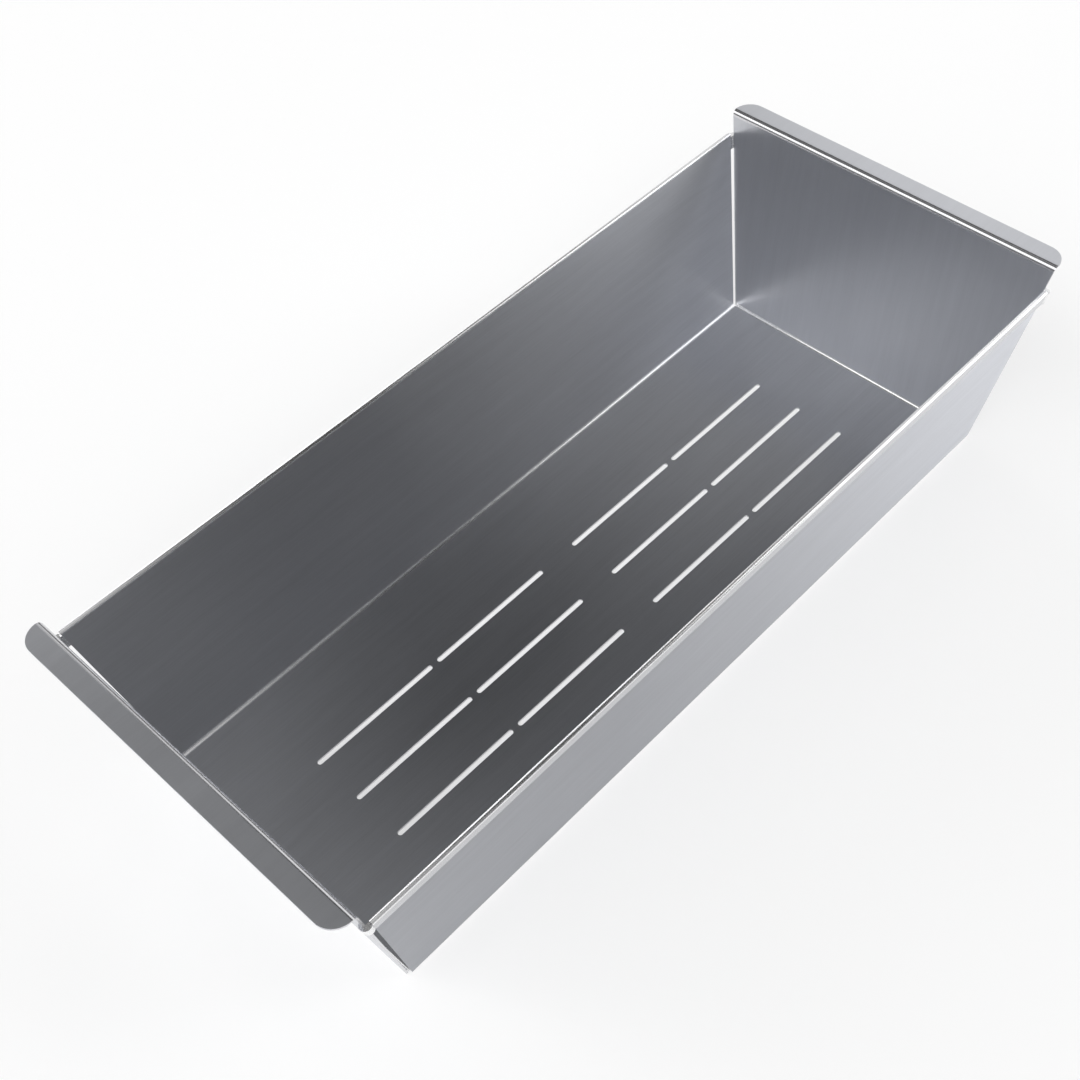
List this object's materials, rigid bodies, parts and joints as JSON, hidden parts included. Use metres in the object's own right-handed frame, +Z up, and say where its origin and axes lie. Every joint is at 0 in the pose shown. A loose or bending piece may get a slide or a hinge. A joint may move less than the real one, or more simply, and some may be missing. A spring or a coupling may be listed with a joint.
{
  "type": "hanging drainer tray",
  "caption": "Sheet-steel drainer tray that hangs between two sink ledges by end flanges, with a slotted bottom, hemmed rims and open corner slits.",
  "frame": {"origin": "centre of the tray's footprint, on the underside of the bottom", "axes": "+X along the tray toward the right end flange, +Y across it toward the back, +Z up out of the open top"},
  "size_m": [0.432, 0.1848, 0.105],
  "materials": {
    "trough_steel": "brushed along the tray",
    "panel_steel": "brushed up each panel and out along its flange",
    "weld_steel": "ground and satin polished"
  },
  "bodies": {
    "root": {"trough": "trough_steel", "end_panel_left": "panel_steel", "end_panel_right": "panel_steel", "seam_weld_left": "weld_steel", "seam_weld_right": "weld_steel", "corner_weld_front_left": "weld_steel", "corner_weld_front_right": "weld_steel", "corner_weld_back_left": "weld_steel", "corner_weld_back_right": "weld_steel"}
  },
  "joints": []
}
